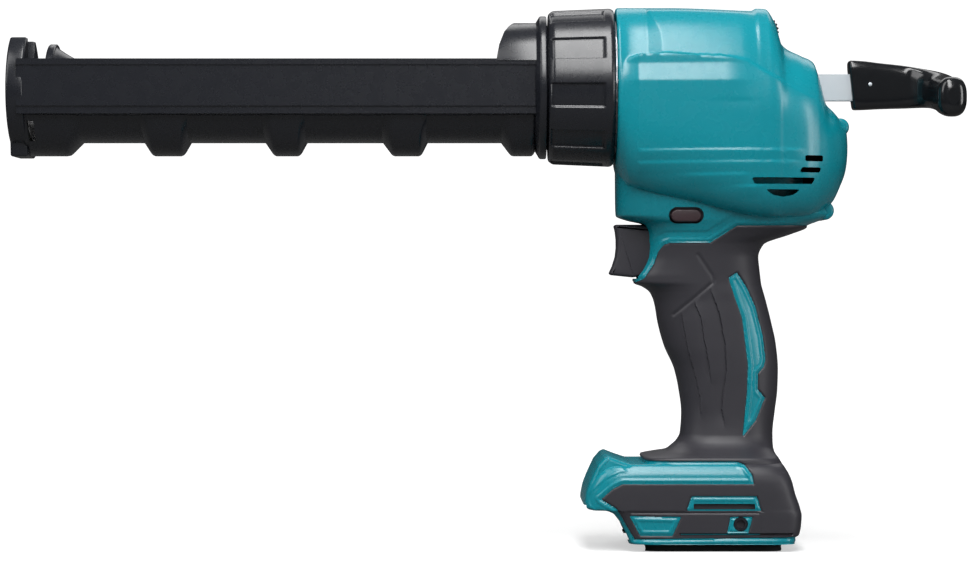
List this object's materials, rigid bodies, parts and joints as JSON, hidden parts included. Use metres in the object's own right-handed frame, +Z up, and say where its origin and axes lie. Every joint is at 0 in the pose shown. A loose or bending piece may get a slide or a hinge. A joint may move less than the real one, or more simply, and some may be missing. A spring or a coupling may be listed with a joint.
{
  "type": "battery caulking gun",
  "caption": "Pistol-grip battery caulking gun: half-pipe cartridge holder on a fluted ring nut, toothed push rod with piston and side pull, trigger, and a foot for a slide-on battery.",
  "frame": {"origin": "on the underside of the battery foot, at the middle of its rear wall", "axes": "+Z up with the gun standing on its foot, -X the way the nozzle points, +Y across the gun"},
  "size_m": [0.4647, 0.087, 0.2659],
  "materials": {
    "teal_shell": "satin, glass-filled nylon",
    "soft_cover": "matte overmould",
    "black_plastic": "satin",
    "bright_steel": "machined",
    "dark_steel": "oiled",
    "die_cast_alloy": "as cast",
    "brass": "machined",
    "copper": "enamelled copper winding",
    "circuit_board": "lacquered",
    "red_lead": "insulated wire"
  },
  "bodies": {
    "housing": {"housing_left": "teal_shell", "housing_right": "teal_shell", "grip_cover_left": "soft_cover", "grip_cover_right": "soft_cover", "gear_case": "die_cast_alloy", "rod_guide_front": "black_plastic", "rod_guide_rear": "black_plastic", "pinion_bush_left": "brass", "pinion_bush_right": "brass", "cross_bush_left": "brass", "cross_bush_right": "brass", "ring_gear": "dark_steel", "motor_can": "bright_steel", "motor_end_cap": "black_plastic", "rotor_bearing_front": "bright_steel", "rotor_bearing_rear": "bright_steel", "motor_magnet_upper": "dark_steel", "motor_magnet_lower": "dark_steel", "switch_body": "black_plastic", "control_board": "circuit_board", "terminal_block": "black_plastic", "terminal_blade_left": "brass", "terminal_blade_right": "brass", "hook_insert_left": "brass", "hook_insert_right": "brass", "motor_lead_left": "red_lead", "motor_lead_right": "black_plastic", "battery_lead_left": "red_lead", "battery_lead_right": "black_plastic", "housing_screw_1": "dark_steel", "housing_screw_2": "dark_steel", "housing_screw_3": "dark_steel", "housing_screw_4": "dark_steel", "housing_screw_5": "dark_steel", "housing_screw_6": "dark_steel", "housing_screw_7": "dark_steel", "housing_screw_8": "dark_steel"},
    "rod": {"rack_rod": "bright_steel", "piston": "black_plastic", "piston_screw": "bright_steel", "rod_handle": "black_plastic", "handle_pin": "bright_steel"},
    "pinion": {"rack_pinion": "dark_steel", "clutch_ring": "bright_steel"},
    "drive_wheel": {"drive_gear": "dark_steel"},
    "cross_wheel": {"cross_shaft": "dark_steel"},
    "rotor": {"armature": "copper", "commutator": "copper", "fan": "black_plastic"},
    "carrier": {"planet_carrier": "bright_steel"},
    "planet_1": {"planet_gear_1": "bright_steel"},
    "planet_2": {"planet_gear_2": "bright_steel"},
    "planet_3": {"planet_gear_3": "bright_steel"},
    "trigger": {"trigger": "soft_cover", "switch_plunger": "black_plastic"},
    "lock": {"lock_button": "black_plastic"},
    "dial": {"speed_dial": "black_plastic"},
    "holder": {"cartridge_holder": "black_plastic"},
    "collar": {"collar_nut": "black_plastic"}
  },
  "joints": [
    {"name": "rod_slide", "type": "slide", "parent": "housing", "child": "rod", "axis": [1, 0, 0], "range_m": [-0.004, 0.215]},
    {"name": "pinion_spin", "type": "hinge", "parent": "housing", "child": "pinion", "pos_m": [-0.0605, 0, 0.213], "axis": [0, 1, 0], "continuous": true},
    {"name": "rotor_spin", "type": "hinge", "parent": "housing", "child": "rotor", "pos_m": [-0.0095, 0, 0.1875], "axis": [1, 0, 0], "continuous": true},
    {"name": "carrier_spin", "type": "hinge", "parent": "housing", "child": "carrier", "pos_m": [-0.0415, 0, 0.1875], "axis": [1, 0, 0], "continuous": true},
    {"name": "planet_1_spin", "type": "hinge", "parent": "carrier", "child": "planet_1", "pos_m": [-0.0375, 0, 0.198], "axis": [1, 0, 0], "continuous": true},
    {"name": "planet_2_spin", "type": "hinge", "parent": "carrier", "child": "planet_2", "pos_m": [-0.0375, -0.00909, 0.18225], "axis": [1, 0, 0], "continuous": true},
    {"name": "planet_3_spin", "type": "hinge", "parent": "carrier", "child": "planet_3", "pos_m": [-0.0375, 0.00909, 0.18225], "axis": [1, 0, 0], "continuous": true},
    {"name": "cross_spin", "type": "hinge", "parent": "housing", "child": "cross_wheel", "pos_m": [-0.0605, 0, 0.1875], "axis": [0, 1, 0], "continuous": true},
    {"name": "drive_spin", "type": "hinge", "parent": "housing", "child": "drive_wheel", "pos_m": [-0.0605, 0, 0.213], "axis": [0, 1, 0], "continuous": true},
    {"name": "trigger_pull", "type": "slide", "parent": "housing", "child": "trigger", "axis": [1, 0, 0], "range_m": [0, 0.007], "stiffness_N_per_m": 400, "springref_m": -0.005},
    {"name": "lock_push", "type": "slide", "parent": "housing", "child": "lock", "axis": [0, 1, 0], "range_m": [-0.003, 0.003]},
    {"name": "dial_turn", "type": "hinge", "parent": "housing", "child": "dial", "pos_m": [-0.0112, 0, 0.2543], "axis": [0, 1, 0], "range_deg": [0, 240]},
    {"name": "holder_swivel", "type": "hinge", "parent": "housing", "child": "holder", "pos_m": [-0.2345, 0, 0.2265], "axis": [1, 0, 0], "continuous": true},
    {"name": "collar_turn", "type": "hinge", "parent": "housing", "child": "collar", "pos_m": [-0.1015, 0, 0.2265], "axis": [1, 0, 0], "range_deg": [0, 330]}
  ],
  "couplings": [
    {"joint": "pinion_spin", "follows": "rod_slide", "rad_per_m": 111.11},
    {"joint": "carrier_spin", "follows": "rotor_spin", "ratio": 0.21429},
    {"joint": "planet_1_spin", "follows": "rotor_spin", "ratio": -0.58929},
    {"joint": "planet_2_spin", "follows": "rotor_spin", "ratio": -0.58929},
    {"joint": "planet_3_spin", "follows": "rotor_spin", "ratio": -0.58929},
    {"joint": "cross_spin", "follows": "rotor_spin", "ratio": -0.10714},
    {"joint": "drive_spin", "follows": "rotor_spin", "ratio": 0.051242}
  ]
}
